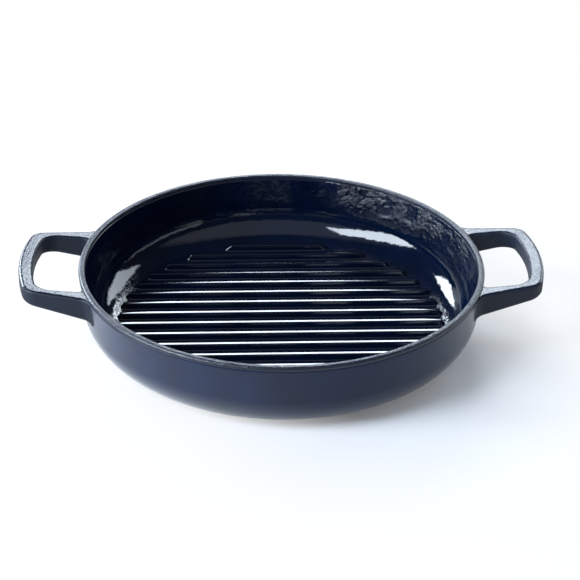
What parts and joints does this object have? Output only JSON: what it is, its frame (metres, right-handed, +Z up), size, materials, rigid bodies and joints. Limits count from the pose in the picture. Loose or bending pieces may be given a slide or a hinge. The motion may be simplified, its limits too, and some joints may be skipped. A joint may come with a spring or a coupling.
{
  "type": "grill pan",
  "caption": "Round shallow grill pan with a ridged floor, a coved wall and a loop handle on each side.",
  "frame": {"origin": "centre of the flat underside, on the pan's axis", "axes": "+Z up along the pan's axis, +X through the two handles and along the grill ridges, +Y across the ridges"},
  "size_m": [0.3606, 0.2796, 0.0564],
  "materials": {
    "cast_iron_core": "as cast, hidden under the enamel",
    "satin_enamel": "satin dark blue-grey enamel with a fine cast grain",
    "matt_rim_enamel": "matt grainy dark enamel",
    "gloss_enamel": "glossy near-black vitreous enamel",
    "gloss_enamelled_iron": "glossy near-black enamel fired over cast-iron ridges",
    "base_enamel": "thin matt ground coat on the underside",
    "outer_enamel": "satin dark blue-grey vitreous enamel"
  },
  "bodies": {
    "root": {"pan_floor": "cast_iron_core", "side_wall": "cast_iron_core", "rim_band": "matt_rim_enamel", "right_handle": "satin_enamel", "left_handle": "satin_enamel", "base_enamel": "base_enamel", "exterior_enamel": "outer_enamel", "interior_enamel": "gloss_enamel", "grill_ridge_01": "gloss_enamelled_iron", "grill_ridge_02": "gloss_enamelled_iron", "grill_ridge_03": "gloss_enamelled_iron", "grill_ridge_04": "gloss_enamelled_iron", "grill_ridge_05": "gloss_enamelled_iron", "grill_ridge_06": "gloss_enamelled_iron", "grill_ridge_07": "gloss_enamelled_iron", "grill_ridge_08": "gloss_enamelled_iron", "grill_ridge_09": "gloss_enamelled_iron", "grill_ridge_10": "gloss_enamelled_iron", "grill_ridge_11": "gloss_enamelled_iron", "grill_ridge_12": "gloss_enamelled_iron", "grill_ridge_13": "gloss_enamelled_iron", "grill_ridge_14": "gloss_enamelled_iron", "grill_ridge_15": "gloss_enamelled_iron", "grill_ridge_16": "gloss_enamelled_iron"}
  },
  "joints": []
}
